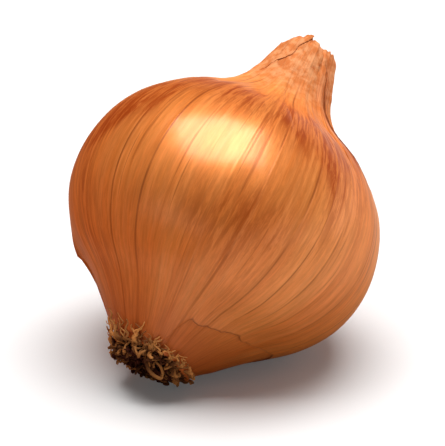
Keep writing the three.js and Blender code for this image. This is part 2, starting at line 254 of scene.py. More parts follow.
def stain_and_shade_depth(angle, along):
    """How deep the skin is darkened, 0 to 1, by its stains and by painted shade and painted
    reflections: the sum of long soft streaks, each a bell round the onion times a bell along it, made
    uneven by a ripple."""
    middle, height, wide, long, lean, depth = STAINS_AND_SHADE.T[..., None]
    round_it = (angle - middle - lean * (along - height) + 180) % 360 - 180
    streaks = (depth * bell(round_it, 0, wide) * bell(along, height, long)).sum(0)
    return np.minimum(streaks * (0.8 + 0.35 * ripple(angle, along, cells=110, step=7, seed=33)), 1)


def quads_between(grid):
    """Faces with four corners between the neighbours in a grid of vertex numbers."""
    return np.stack((grid[:-1, :-1], grid[:-1, 1:], grid[1:, 1:], grid[1:, :-1]), -1).reshape(-1, 4)


def fan(starts, ends, point):
    """Triangles from each edge of a ring to the one point that closes it."""
    return np.stack((starts, ends, np.full(len(starts), point)), -1)


def smooth_piece(name, points, faces):
    """An object with a smooth-shaded mesh, from points in mm on the table."""
    mesh = bpy.data.meshes.new(name)
    mesh.from_pydata(points * MM, [], faces)
    mesh.shade_smooth()
    piece = bpy.data.objects.new(name, mesh)
    bpy.context.scene.collection.objects.link(piece)
    return piece


def grid_mesh(name, points, poles=()):
    """One closed mesh from a grid of points [rows, columns] of the onion's own frame, whose
    columns go once round. A pole at either end closes it, or else its rows go round too."""
    rows, columns = points.shape[:2]
    flat = points.reshape(-1, 3)
    corner = np.arange(rows * columns).reshape(rows, columns)
    if not poles:
        corner = np.vstack((corner, corner[:1]))
    grid = np.hstack((corner, corner[:, :1]))
    faces = quads_between(grid).tolist()
    if poles:
        flat = np.vstack((flat, *poles))
        faces += fan(grid[0, 1:], grid[0, :-1], rows * columns).tolist()
        faces += fan(grid[-1, :-1], grid[-1, 1:], rows * columns + 1).tolist()
    return smooth_piece(name, laid(flat), faces)


def mark(mesh, label, values):
    """A number at each vertex, or the same one at all, that a material reads by its label."""
    values = np.broadcast_to(values, len(mesh.vertices)).astype("f")
    mesh.attributes.new(label, "FLOAT", "POINT").data.foreach_set("value", values)


def dress(mesh, angle, along, edge):
    """What a skin's material reads, from the angle and distance of each vertex: the direction round the
    onion with the distance along (grain), the girth's radius, how close a torn edge is, as the brown of
    the torn edges and the painted shadow beside them, the stains with their painted shade and painted
    reflections, and a UV map of the share of the way round, counted in veins, and the distance along.
    The U of a face that crosses the first vein goes on counting instead of starting again."""
    turn = np.radians(angle)
    grain = np.stack((np.cos(turn), np.sin(turn), along / 100), -1).astype("f")
    mesh.attributes.new("grain", "FLOAT_VECTOR", "POINT").data.foreach_set("vector", grain.ravel())
    mark(mesh, "girth", radius_at(along))
    mark(mesh, "along", along)
    mark(mesh, "edge", edge)
    mark(mesh, "stain_and_shade", stain_and_shade_depth(angle, along))
    loops = np.empty(len(mesh.loops), int)
    mesh.loops.foreach_get("vertex_index", loops)
    starts = np.empty(len(mesh.polygons), int)
    mesh.polygons.foreach_get("loop_start", starts)
    u = vein_place(angle)[loops]
    most = np.repeat(np.maximum.reduceat(u, starts), np.diff(np.append(starts, len(u))))
    u = np.where(most - u > len(VEINS) / 2, u + len(VEINS), u)
    uv = np.stack((u / len(VEINS), along[loops] / 100), -1).astype("f")
    mesh.uv_layers.new(name="skin").data.foreach_set("uv", uv.ravel())


def skin_mesh(name, points, angle, along, edge, poles=()):
    """A grid mesh dressed as a skin. The poles take the angle 0, and the distance of their end."""
    piece = grid_mesh(name, points, poles)
    shape = points.shape[:2]
    angle, along, edge = (np.broadcast_to(v, shape).ravel() for v in (angle, along, edge))
    if poles:
        angle, along = np.append(angle, (0, 0)), np.append(along, (along[0], along[-1]))
        edge = np.append(edge, (0, 0))
    dress(piece.data, angle, along, edge)
    return piece


def inner_skin():
    """Rings up the skin, closer together in the neck, to its ragged end, then down inside its crumpled
    mouth to a furled middle. It lies SKIN below the outline, but closer low on the underside, and
    swells out beyond the upper torn edge. At the base a recess holds the basal plate, and a collar of
    torn skin hangs on below it on the side that faces the table. Next to the outermost skin's torn
    edges the skin is darkened by a painted shadow."""
    angle = round_the_bulb(16)[None, :]
    level = 0 * angle
    ragged = np.abs(ripple(angle, level, cells=70, step=10, seed=8))
    end = roundabout(NECK_END, angle) - 0.6 * ragged
    share = np.concatenate((np.linspace(0, 0.84, 112, False), np.linspace(0.84, 1, 62)))[:, None]
    along = share * end
    sleeve = roundabout(SLEEVE_EDGE, angle)
    bulge = 0.4 * smooth(sleeve - 2.5, sleeve + 2.5, along) * smooth(88, 93, along)
    furl = 1.1 - 0.9 * bell(angle, 48, 14)
    below = SKIN * (1 - 0.7 * bell(angle, 90, 32) * smooth(40, 30, along))
    lift = relief(angle, along) - below + bulge - furl * smooth(end - 3.5, end, along) ** 2
    skin = on_skin(angle, along, lift)
    rim = end - 0.2
    inside = []
    for depth, width in MOUTH:
        radius = radius_at(rim) * width
        radius = radius + 0.25 * ripple(angle, level + depth * 9, cells=12, step=9, seed=9)
        inside.append(around(radius, angle, np.interp(rim, ALONG, CURVE[:, 0]) - depth))
    hem = HEM - roundabout(COLLAR, angle)
    hem = hem - 0.3 * np.abs(ripple(angle, level, cells=80, step=10, seed=10))
    recess = around(RECESS_RADIUS, angle, RECESS_ROOF), around(RECESS_RADIUS, angle, hem)
    rows = np.vstack((*recess, around(HEM_RADIUS, angle, hem), skin, *inside))
    poles = (0, 0, RECESS_ROOF), (0, 0, rows[-1, :, 2].mean() - 0.4)
    alongs = np.vstack((np.zeros((3, angle.size)), along, *[end] * len(inside)))
    # bare is how far past the outermost skin's torn edges; shade there is a painted shadow on the inner
    # skin, kept as its edge value.
    bare = np.maximum(roundabout(TORN_EDGE, angle) - alongs, alongs - sleeve)
    shade = 0.6 * np.exp(-np.maximum(bare, 0) / 0.5) * roundabout(LINE_SHOWS, angle)
    shade = shade * np.where(alongs > 60, smooth(96, 88, alongs) * 0.8 + 0.2, 1)
    return skin_mesh("inner_skin", rows, angle, alongs, shade, poles)


def node(tree, kind, **values):
    """A shader node. Names in small letters are its settings, and the others are its sockets, by
    name or by number after an underscore, which take a value or a link."""
    made = tree.nodes.new(kind)
    for key, value in values.items():
        if key.islower():
            setattr(made, key, value)
            continue
        socket = made.inputs[int(key[1:]) if key[0] == "_" else key.replace("_", " ")]
        if isinstance(value, bpy.types.NodeSocket):
            tree.links.new(value, socket)
        else:
            socket.default_value = value
    return made


def maths(tree, operation, a, b=0.0, c=0.0, clamp=False):
    """One sum of up to three values, clamped to 0..1 if asked."""
    return node(tree, "ShaderNodeMath", operation=operation, use_clamp=clamp, _0=a, _1=b,
                _2=c).outputs[0]


def scaled(tree, vector, scale):
    """A vector, or a colour, times a value, or times another vector part by part."""
    if isinstance(scale, tuple):
        made = node(tree, "ShaderNodeVectorMath", operation="MULTIPLY", _0=vector, _1=scale)
    else:
        made = node(tree, "ShaderNodeVectorMath", operation="SCALE", _0=vector, Scale=scale)
    return made.outputs[0]


def blend(tree, factor, a, b, blend_type="MIX"):
    """Colour a, turning into colour b by the factor, or mixed with it as the blend type says."""
    return node(tree, "ShaderNodeMix", data_type="RGBA", blend_type=blend_type, _0=factor, _6=a,
                _7=b).outputs[2]


def between(tree, value, low, high, start=0.0, end=1.0):
    """Maps low..high smoothly on to start..end and holds it there outside."""
    return node(tree, "ShaderNodeMapRange", interpolation_type="SMOOTHSTEP", _0=value, _1=low,
                _2=high, _3=start, _4=end).outputs[0]


def noise(tree, vector, scale, detail, rough=0.5, distortion=0.0):
    """Cloudy noise of so many cells to the vector's unit, mostly between 0.3 and 0.7."""
    return node(tree, "ShaderNodeTexNoise", Vector=vector, Scale=scale, Detail=detail,
                Roughness=rough, Distortion=distortion).outputs["Fac"]


def attribute(tree, label, output="Fac"):
    """What a mesh is marked with under a label."""
    return node(tree, "ShaderNodeAttribute", attribute_name=label).outputs[output]


def skin_pattern_group():
    """The dry skin's own markings, as a node group: Veins, fine dark lines from neck to root that
    fade in and out; Fibre, the streaks between them; Blotch, cloudy patches; Height for bump; and
    Shade, how bright each fibre is. It takes the onion's Grain, the radius of the Girth, and the
    share of the way Round. Each is noise on the grain, drawn out along the onion, so that they
    run together at the neck and the root."""
    tree = bpy.data.node_groups.new("onion skin pattern", "ShaderNodeTree")
    for name, way, kind in (("Grain", "INPUT", "Vector"), ("Girth", "INPUT", "Float"),
                            ("Round", "INPUT", "Float"), ("Veins", "OUTPUT", "Float"),
                            ("Fibre", "OUTPUT", "Float"), ("Blotch", "OUTPUT", "Float"),
                            ("Height", "OUTPUT", "Float"), ("Shade", "OUTPUT", "Float")):
        tree.interface.new_socket(name=name, in_out=way, socket_type="NodeSocket" + kind)
    given = node(tree, "NodeGroupInput").outputs
    straight, broad, long, short = (
        scaled(tree, given["Grain"], (1, 1, drawn_out)) for drawn_out in (0.06, 0.2, 0.35, 0.5)
    )

    wander = maths(tree, "SUBTRACT", noise(tree, long, 5.0, 2), 0.5)
    wander = maths(tree, "MULTIPLY", wander, 0.35)
    place = maths(tree, "MULTIPLY_ADD", given["Round"], len(VEINS), wander)
    nearest = maths(tree, "ROUND", place)
    off = maths(tree, "ABSOLUTE", maths(tree, "SUBTRACT", place, nearest))
    spacing = maths(tree, "MULTIPLY", given["Girth"], 2 * np.pi / len(VEINS))
    line = between(tree, maths(tree, "MULTIPLY", off, spacing), 0.05, 0.42, 1.0, 0.0)
    each = node(tree, "ShaderNodeTexWhiteNoise", noise_dimensions="1D", W=nearest)
    strength = maths(tree, "MULTIPLY_ADD", each.outputs["Value"], 0.6, 0.4)
    come_and_go = between(tree, noise(tree, long, 9.0, 2), 0.40, 0.58)
    main = maths(tree, "MULTIPLY", line, maths(tree, "MULTIPLY", strength, come_and_go))
    fine = between(tree, noise(tree, straight, 48.0, 2), 0.57, 0.68)
    fine_fade = between(tree, noise(tree, long, 6.5, 2), 0.42, 0.62)
    minor = maths(tree, "MULTIPLY", maths(tree, "MULTIPLY", fine, fine_fade), 0.55)
    veins = maths(tree, "MAXIMUM", main, minor)

    fine_fibre = noise(tree, straight, 38.0, 6, 0.7)
    broad_fibre = maths(tree, "MULTIPLY", noise(tree, broad, 13.0, 4, 0.6, 0.15), 0.55)
    fibre = maths(tree, "MULTIPLY_ADD", fine_fibre, 0.45, broad_fibre)
    short_fibre = between(tree, noise(tree, short, 34.0, 5, 0.7, 0.4), 0.32, 0.68, 0.91, 1.08)
    mottle = between(tree, noise(tree, long, 15.0, 4, 0.65), 0.3, 0.7, 0.93, 1.07)
    shade = maths(tree, "MULTIPLY", short_fibre, mottle)
    shade = maths(tree, "MULTIPLY", shade, between(tree, fine_fibre, 0.3, 0.7, 0.95, 1.05))
    height = maths(tree, "MULTIPLY_ADD", veins, -0.5, maths(tree, "MULTIPLY", fibre, 0.6))
    node(tree, "NodeGroupOutput", Veins=veins, Fibre=fibre, Blotch=noise(tree, long, 3.6, 6, 0.6),
         Height=height, Shade=shade)
    return tree


SKIN_PATTERN = skin_pattern_group()


def skin_colour(tree, pattern, along, crinkle, stain_and_shade, light, mid, deep):
    """From light to deep with the blotches and fibres, dusky as it nears the root, dry and crinkled in
    the neck with painted shade in the crinkle's hollows, and brown at the veins, at the stains, which
    also hold painted shade and painted reflections, and at the torn edges, which also hold a painted
    shadow. The shade of each fibre multiplies it all."""
    colour = blend(tree, between(tree, pattern["Blotch"], 0.32, 0.68), mid, deep)
    streak = between(tree, pattern["Fibre"], 0.38, 0.66)
    colour = blend(tree, maths(tree, "MULTIPLY", streak, 0.34), colour, light)
    dusky = (deep[0] * 0.72, deep[1] * 0.62, deep[2] * 0.6, 1)
    colour = blend(tree, between(tree, along, 2.0, 20.0, 0.85, 0.0), colour, dusky)
    # Darker in the crinkle's hollows: painted shade in the creases.
    dry = blend(tree, between(tree, crinkle, 0.36, 0.64), DRY_CREASE_SHADE, DRY_TAN)
    colour = blend(tree, between(tree, along, 78.0, 95.0, 0.0, 0.88), colour, dry)
    vein_depth = maths(tree, "MULTIPLY", between(tree, along, 8.0, 45.0, 0.4, 0.85),
                       between(tree, along, 82.0, 92.0, 1.0, 0.15))
    colour = blend(tree, maths(tree, "MULTIPLY", pattern["Veins"], vein_depth), colour, VEIN_BROWN)
    # The stains' brown, which also carries the painted shade and painted reflections.
    colour = blend(tree, stain_and_shade, colour, STAIN_AND_SHADE_BROWN)
    # Torn edges browned, with a painted shadow beside them on the inner skin.
    torn_brown_and_shadow = maths(tree, "MULTIPLY", attribute(tree, "edge"), 0.6, clamp=True)
    return scaled(tree, blend(tree, torn_brown_and_shadow, colour, TORN_BROWN_AND_SHADOW), pattern["Shade"])


def skin_material(name, light, mid, deep, rough, metal, coat, relief_mm):
    """Dry onion skin: a satin, golden film, whose gloss is partly metallic and partly a coat. The coat
    dulls at the stains and the painted darks, at the veins and at grazing angles, and both fade out
    towards the dull neck."""
    material = bpy.data.materials.new(name)
    material.use_nodes = True
    tree = material.node_tree
    shader = tree.nodes["Principled BSDF"]
    uv = node(tree, "ShaderNodeUVMap", uv_map="skin").outputs["UV"]
    way_round = node(tree, "ShaderNodeSeparateXYZ", Vector=uv).outputs["X"]
    pattern = node(tree, "ShaderNodeGroup", node_tree=SKIN_PATTERN, Round=way_round,
                   Grain=attribute(tree, "grain", "Vector"), Girth=attribute(tree, "girth")).outputs
    along = attribute(tree, "along")
    place = node(tree, "ShaderNodeTexCoord").outputs["Object"]
    crinkle = noise(tree, place, 520.0, 4, 0.6)
    uneven = between(tree, pattern["Shade"], 0.92, 1.08, 1.0, 0.45)
    stain_and_shade = maths(tree, "MULTIPLY", attribute(tree, "stain_and_shade"), uneven)
    colour = skin_colour(tree, pattern, along, crinkle, stain_and_shade, light, mid, deep)
    tree.links.new(colour, shader.inputs["Base Color"])

    roughness = between(tree, pattern["Fibre"], 0.3, 0.7, rough - 0.03, rough + 0.04)
    roughness = maths(tree, "ADD", roughness, between(tree, along, 78.0, 92.0, 0.0, 0.25))
    tree.links.new(roughness, shader.inputs["Roughness"])
    tree.links.new(between(tree, along, 66.0, 84.0, metal, 0.0), shader.inputs["Metallic"])
    clean = maths(tree, "MULTIPLY", maths(tree, "MULTIPLY_ADD", stain_and_shade, -1.0, 1.0, clamp=True),
                  maths(tree, "MULTIPLY_ADD", pattern["Veins"], -0.6, 1.0))
    grazing = node(tree, "ShaderNodeLayerWeight", Blend=0.5).outputs["Facing"]
    dull = between(tree, grazing, 0.25, 0.75, 1.0, 0.06)
    dull = maths(tree, "MULTIPLY", dull, pattern["Shade"])
    coated = maths(tree, "MULTIPLY", between(tree, along, 56.0, 73.0, coat, 0.0), clean)
    tree.links.new(maths(tree, "MULTIPLY", coated, dull), shader.inputs["Coat Weight"])
    shader.inputs["Specular IOR Level"].default_value = 0.15
    shader.inputs["Specular Tint"].default_value = (1.0, 0.75, 0.5, 1)
    shader.inputs["Coat Roughness"].default_value = 0.22
    shader.inputs["Coat IOR"].default_value = 1.5
    crumpled = maths(tree, "MULTIPLY", crinkle, between(tree, along, 78.0, 94.0, 0.3, 3.0))
    height = maths(tree, "ADD", pattern["Height"], crumpled)
    bump = node(tree, "ShaderNodeBump", Strength=0.5, Distance=relief_mm * MM, Height=height)
    tree.links.new(bump.outputs["Normal"], shader.inputs["Normal"])
    return material


inner = inner_skin()
inner.data.materials.append(skin_material(
    "inner onion skin", (0.88, 0.34, 0.095, 1), (0.82, 0.26, 0.055, 1), (0.72, 0.19, 0.035, 1),
    rough=0.40, metal=0.3, coat=0.4, relief_mm=0.08,
))
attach(inner, "root")
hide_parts("bulb")

# ---------------------------------------------------------------- outermost skin
# The thin papery skin over all of it, torn off low down and round the neck. Its edges have dried
# and lifted: most at the flap on the left, and at the tear over the right shoulder.

PAPER = 0.14  # mm thick
LOOSE = [  # degrees round the bulb, mm that the torn edge stands off
    (-180, 0.3), (-140, 0.5), (-110, 0.2), (-90, 0.2), (0, 0.08), (12, 0.25), (48, 0.14),
    (70, 0.03), (110, 0.08), (150, 0.3),
]
FLAP, FLAP_TOP = -104, 22  # degrees round the bulb, and mm up the skin where it starts to sink
TEAR = 56  # degrees round the bulb, of the steep tear in the upper edge


def steepness(angle, edge):
    """How much further along the skin a torn edge is than straight across: sqrt(1 + slope^2)."""
    step = np.radians(np.gradient(np.unwrap(angle[0], period=360)))
    slope = np.gradient(edge[0]) / np.maximum(step, 1e-6)
    return np.sqrt(1 + (slope[None, :] / radius_at(edge)) ** 2)


def torn_edges(angle):
    """The lower and the upper edge, mm up the skin, frayed by ripples."""
    level = 0 * angle
    low = roundabout(TORN_EDGE, angle)
    frayed = 0.5 * ripple(angle, level, cells=60, step=10, seed=11)
    frayed = frayed + 0.2 * ripple(angle, level, cells=190, step=10, seed=12)
    low = low + smooth(2, 8, low) * frayed
    high = roundabout(SLEEVE_EDGE, angle)
    high = high + 0.5 * ripple(angle, level, cells=50, step=10, seed=13)
    return low, high + 0.3 * ripple(angle, level, cells=150, step=10, seed=14)


def curl(angle, along, start, end):
    """How far the sheet stands off near its edges, mm: a lip at each one that grows as the square
    of the nearness, a bell for the flap, and a bell where the tear has rolled."""
    level = 0 * angle
    lip = roundabout(LOOSE, angle) * (1 + 0.5 * ripple(angle, level, cells=40, step=10, seed=15))
    lower = lip * np.maximum(0, 1 - (along - start) / 4) ** 2
    flap = bell(angle, FLAP, 7) * smooth(18.5, FLAP_TOP, along)
    flap = flap * np.maximum(0, 1 - (np.maximum(0, along - FLAP_TOP) / 9) ** 2) ** 2
    upper = 0.07 * (1 + ripple(angle, level, cells=36, step=10, seed=16))
    upper = upper * np.maximum(0, 1 - (end - along) / 3) ** 2
    rolled = 0.5 * bell(angle, TEAR, 6) * np.maximum(0, 1 - ((end - along) / 7) ** 2) ** 2
    return lower * smooth(2, 8, start) + flap + upper + rolled


def outer_skin():
    """A sheet from its torn lower edge up to its torn upper edge and back inside, closed as a
    ring of rows: the relief, its curl, and on the way back the paper's thickness inwards."""
    angle = round_the_bulb(20)[None, :]
    angle = np.where(angle > 180, angle - 360, angle)
    start, end = torn_edges(angle)
    out = np.concatenate((
        np.linspace(0, 0.02, 9, False), np.linspace(0.02, 0.8, 102, False),
        np.linspace(0.8, 0.985, 57, False), np.linspace(0.985, 1, 9),
    ))
    back = np.concatenate((np.linspace(1, 0.94, 5), np.linspace(0.9, 0.1, 17), np.linspace(0.06, 0, 5)))
    side = np.repeat((0.0, -PAPER), (len(out), len(back)))[:, None]
    along = start + np.append(out, back)[:, None] * (end - start)
    lift = relief(angle, along) + curl(angle, along, start, end) + side
    # The edge value browns the torn edges: partly the dry paper's own brown and partly a painted shadow
    # line, strongest at the rolled tear over the right shoulder.
    below = bell((along - start) / steepness(angle, start), 0, 0.3)
    above = bell((end - along) / steepness(angle, end), 0, 0.45)
    edge = below * smooth(2, 8, start) * roundabout(LINE_SHOWS, angle)
    edge = edge + above * (0.25 + 1.4 * smooth(30, 50, angle) * smooth(100, 80, angle))
    return skin_mesh("outer_skin", on_skin(angle, along, lift), angle, along, edge)


outer = outer_skin()
outer.data.materials.append(skin_material(
    "outermost onion skin", (0.87, 0.34, 0.10, 1), (0.80, 0.26, 0.055, 1), (0.71, 0.192, 0.034, 1),
    rough=0.38, metal=0.33, coat=0.68, relief_mm=0.1,
))
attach(outer, "root")
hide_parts("bulb")

# ---------------------------------------------------------------- leaf round the neck
# A dry leaf base that wraps the neck from the left and lies over the skins, with a stepped free
# edge that runs up across the front. Its lower and left borders are tucked under.

LEAF_FOOT, LEAF_REACH = 86.0, 18  # mm up the skin, and mm more to the top of its free edge
LEAF_BORDER = -168  # degrees round the bulb, where it is tucked under
BURIED, LEAF_RISE = 0.75, 0.86  # mm that its borders lie below the outline, and that it rises
WRAP_EDGE = [  # mm up the skin, degrees round the bulb
    (84, -64), (91, -54), (94.4, -43), (95.6, -35), (96.8, -27), (99.6, -26), (101.2, -17),
    (103, -13), (106, -12),
]


def neck_leaf():
    """A closed sheet between its buried left border and its free edge: a grid of rows up the neck
    and columns round it, doubled back inside. It lifts towards its free edge as the square of the
    nearness, and sinks into the neck at its foot, its left border and its top."""
    rows, columns = 60, 90
    up = np.linspace(0, 1, rows)[:, None]
    across = np.concatenate((np.linspace(0, 1, columns), np.linspace(1, 0, columns)))[None, :]
    side = np.repeat((0.0, -PAPER), columns)[None, :]
    free = np.interp(LEAF_FOOT + up * LEAF_REACH, *np.array(WRAP_EDGE).T)
    free = free + 1.2 * ripple(up * 360, 0 * up, cells=12, step=10, seed=31)
    angle = LEAF_BORDER + across * (free - LEAF_BORDER)
    ragged = 0.5 * ripple(angle, 0 * angle, cells=46, step=10, seed=32)
    top = roundabout(NECK_END, angle) + 0.3 + ragged
    along = LEAF_FOOT + up * (top - LEAF_FOOT)
    off = (free - angle) * np.pi / 180 * radius_at(along)
    tucked = smooth(0, 0.3, up) * smooth(0, 0.25, across)
    lip = 0.05 * np.maximum(0, 1 - off / 2.6) ** 2 * smooth(0.15, 0.5, up)
    drawn_in = 0.9 * smooth(0.75, 1, up) ** 2
    lift = relief(angle, along) - BURIED + LEAF_RISE * tucked + lip - drawn_in
    edge = 0.25 * bell(off, 0, 0.4) * smooth(0.15, 0.5, up)
    return on_skin(angle, along, lift + side), angle, along, edge


def sheet_mesh(name, points, angle, along, edge):
    """A closed mesh, dressed as a skin, from a grid whose columns run across a sheet and back on
    its inner side. The first and last rows are closed by a strip between the two sides."""
    rows, columns = points.shape[:2]
    corner = np.arange(rows * columns).reshape(rows, columns)
    faces = [quads_between(np.hstack((corner, corner[:, :1])))]
    for row, turned in ((0, True), (-1, False)):
        front, back = corner[row, : columns // 2], corner[row, ::-1]
        strip = quads_between(np.stack((front, back[: columns // 2])))
        faces.append(strip[:, ::-1] if turned else strip)
    piece = smooth_piece(name, laid(points.reshape(-1, 3)), np.vstack(faces).tolist())
    dress(piece.data, angle.ravel(), along.ravel(), edge.ravel())
    return piece


leaf = sheet_mesh("neck_leaf", *neck_leaf())
leaf.data.materials.append(skin_material(
    "dry neck leaf", (0.86, 0.345, 0.105, 1), (0.79, 0.265, 0.06, 1), (0.70, 0.2, 0.04, 1),
    rough=0.40, metal=0.0, coat=0.0, relief_mm=0.1,
))
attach(leaf, "root")
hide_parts("bulb")

# ---------------------------------------------------------------- basal plate and roots
# The hard disc that the scales and the roots grow from, in the recess under the bulb, and the
# dead roots: wiry, curled and matted, some of them lying up against the skin.

PLATE_RADIUS = 8.1
PLATE_MIDDLE, PLATE_BACK = -36.6, -33.8  # heights of its domed outer face and its inner face
PLATE_FACE = [  # share of the radius, height, mm: outer face from its middle, rim, inner face
    (0.15, -36.5), (0.35, -36.4), (0.55, -36.2), (0.75, -35.9), (0.92, -35.5), (1, -35.1),
    (1, -34.2), (0.9, PLATE_BACK), (0.5, PLATE_BACK),
]
ROOTED = -35.4  # height at which the roots start in the plate
ROOT_CLEAR, CLIMBER_CLEAR = 0.3, 0.25  # mm that the middle of a root stays above the table
SPIRAL = 137.5  # degrees from one root to the next, as in a sunflower
TUFT_SHARE = [(-180, 1), (0, 1), (25, 0.9), (50, 0.7), (100, 0.6), (150, 0.85)]  # of its reach
CLIMB = [  # degrees round the bulb, mm that the roots reach up the skin
    (-180, 3), (-120, 3), (-80, 4), (-60, 6.5), (-42, 7), (-30, 4.5), (-5, 3), (20, 2.6),
    (50, 1.6), (75, 0.5), (130, 0.6), (150, 3),
]
RING, RING_OUT, RING_DOWN = 10, 9.3, -39.1  # degrees round, mm from the axis, height of its middle
RING_COS, RING_SIN = 0.92, 0.39  # of its tilt, about 23 degrees
RING_NUDGE = np.array((0, 2.7, -1.2))  # mm that it leans away from its place
RING_THICKNESS, RING_TONE = 0.85, 0.55
ROOT_SIDES = 6
ROOT_DARK, ROOT_STRAW = (0.05, 0.008, 0.003, 1), (0.70, 0.30, 0.085, 1)
ROOT_DUST, ROOT_SHADE = (0.45, 0.22, 0.08, 1), (0.035, 0.006, 0.0025, 1)


def strands(name, paths, thickness, sides, tone):
    """Tubes along paths [strands, steps, 3], mm, on the table, fused into one mesh: each ring
    stands square to its path in a frame carried from step to step, tapers to the tip, and its
    ends are closed by a point. The mesh is marked with each strand's tone, and with the length
    from 0 at its start to 1 at its tip."""
    count, steps = paths.shape[:2]
    ahead = np.gradient(paths, axis=1)
    ahead /= np.linalg.norm(ahead, axis=2)[..., None]
    across = np.empty_like(paths)
    start = np.cross(ahead[:, 0], (0.31, 0.87, 0.39))
    across[:, 0] = start / np.linalg.norm(start, axis=1)[:, None]
    for k in range(1, steps):
        carried = across[:, k - 1] - (across[:, k - 1] * ahead[:, k]).sum(1)[:, None] * ahead[:, k]
        across[:, k] = carried / np.linalg.norm(carried, axis=1)[:, None]
    other = np.cross(ahead, across)
    turn = np.arange(sides) * 2 * np.pi / sides
    taper = (1 - 0.6 * np.linspace(0, 1, steps) ** 2)[None, :] * thickness[:, None] / 2
    ring = across[:, :, None] * np.cos(turn)[:, None] + other[:, :, None] * np.sin(turn)[:, None]
    rings = paths[:, :, None] + ring * taper[..., None, None]
    tips = paths[:, 0] - ahead[:, 0] * taper[:, :1], paths[:, -1] + ahead[:, -1] * taper[:, -1:]
    points = np.concatenate((rings.reshape(count, -1, 3), np.stack(tips, 1)), 1)
    points[..., 2] = np.maximum(points[..., 2], 0)

    corner = np.arange(steps * sides).reshape(steps, sides)
    grid = np.hstack((corner, corner[:, :1]))
    low = fan(grid[0, 1:], grid[0, :-1], steps * sides)
    high = fan(grid[-1, :-1], grid[-1, 1:], steps * sides + 1)
    shift = (np.arange(count) * points.shape[1])[:, None, None]
    faces = (quads_between(grid) + shift).reshape(-1, 4).tolist()
    faces += (np.vstack((low, high)) + shift).reshape(-1, 3).tolist()
    piece = smooth_piece(name, points.reshape(-1, 3), faces)
    mark(piece.data, "tone", np.repeat(tone, points.shape[1]))
    lengths = np.concatenate((np.repeat(np.linspace(0, 1, steps), sides), (0, 1)))
    mark(piece.data, "length", np.tile(lengths, count))
    return piece


def smooth_path(knots, steps):
    """Splines through knots [strands, knots, 3], sampled at so many steps."""
    return spline(knots, np.linspace(0, knots.shape[1] - 1, steps))


def tuft_paths(count, steps, seed):
    """Roots in a sunflower spiral over the plate: those in the middle point down and curl, those
    near the rim turn out and back up round the base. Each wanders by seeded draws at its knots.
    The middle ones are dark, and the ones at the rim dried to straw."""
    draw = np.random.default_rng(seed)
    number = np.arange(count)
    share = np.sqrt((number + 0.5) / count)
    angle = number * SPIRAL + draw.uniform(-8, 8, count)
    sway = draw.uniform(-45, 45, count)
    depth = -37.9 + 0.8 * share + draw.uniform(-0.8, 0.8, count)
    reach = (4.6 + 5.2 * share + draw.uniform(-1.0, 0.8, count)) * roundabout(TUFT_SHARE, angle)
    end = -37.8 + 4.0 * share**2 + draw.uniform(-1.0, 0.8, count)
    start = share * (PLATE_RADIUS - 0.7)
    stops = np.linspace(0, 1, 10)[:, None]
    bend = smooth(0, 0.5, stops)
    back = smooth(0.45, 1, stops)
    radius = start + (reach - start) * bend - 1.2 * back * (1 + draw.uniform(-1, 1, count))
    turned = angle + sway * np.sin(stops * 2.6)
    height = ROOTED + (depth - ROOTED) * bend + (end - depth) * back
    knots = laid(around(radius, turned, height), ROOT_CLEAR).transpose(1, 0, 2)
    knots = knots + draw.normal(0, 0.42, knots.shape) * smooth(0, 0.3, stops)[None]
    knots[..., 2] = np.maximum(knots[..., 2], ROOT_CLEAR)
    tone = np.clip(share**6 * 0.8 + draw.uniform(-0.3, 0.4, count), 0, 1)
    return smooth_path(knots, steps), tone, draw.uniform(0.4, 0.85, count)


def climber_paths(count, steps, seed):
    """Straw-coloured roots that leave the rim of the plate and lie up over the skin: longest on
    the left of the front, short and hooked on its right."""
    draw = np.random.default_rng(seed)
    angle = np.sort(draw.uniform(-180, 180, count))
    length = roundabout(CLIMB, angle) * draw.uniform(0.45, 1.1, count)
    stops = np.linspace(0, 1, 9)[:, None]
    turned = angle + draw.uniform(-14, 14, count) * stops**2 + draw.normal(0, 2.2, (9, count))
    up = np.maximum(stops * 1.5 - 0.5, 0) * length
    off = 0.35 + draw.uniform(0, 0.5, count) + draw.uniform(0, 0.35, (9, count))
    skin = laid(on_skin(turned, up, off), CLIMBER_CLEAR)
    start = np.minimum(stops * 3, 1)
    below = laid(around(PLATE_RADIUS - 0.6 + 3.2 * start, turned, -36.2 + start), ROOT_CLEAR)
    knots = np.where((stops < 0.34)[..., None], below, skin).transpose(1, 0, 2)
    tone = draw.uniform(0.4, 1, count) ** 1.2
    return smooth_path(knots, steps), tone, draw.uniform(0.36, 0.75, count) * (0.8 + 0.08 * length)


def ring_root(steps):
    """The one root that dried in a flat ring at the front of the tuft: a tilted ellipse, narrower
    where it comes round on itself, which waves in and out three times."""
    turn = np.linspace(0, 1.15, 13) * 2 * np.pi
    size = 1 - 0.3 * smooth(5.6, 7.2, turn)
    long, wide = 2.45 * size * np.cos(turn + 3.0), 1.2 * size * np.sin(turn + 3.0)
    sideways = np.degrees((RING_COS * long + RING_SIN * wide) / 9.4)
    out = RING_OUT + turn / 16 + 0.3 * np.sin(3 * turn)
    ring = around(out, RING + sideways, RING_DOWN - RING_SIN * long + RING_COS * wide)
    return smooth_path(laid(ring, ROOT_CLEAR)[None], steps) + RING_NUDGE


paths, tone, thickness = tuft_paths(count=170, steps=30, seed=21)
tuft = strands("root_tuft", paths, thickness, ROOT_SIDES, tone)
paths, tone, thickness = climber_paths(count=80, steps=22, seed=22)
climbers = strands("climbing_roots", paths, thickness, ROOT_SIDES, tone)
ring = strands("ring_root", ring_root(60), np.array([RING_THICKNESS]), 10, np.array([RING_TONE]))


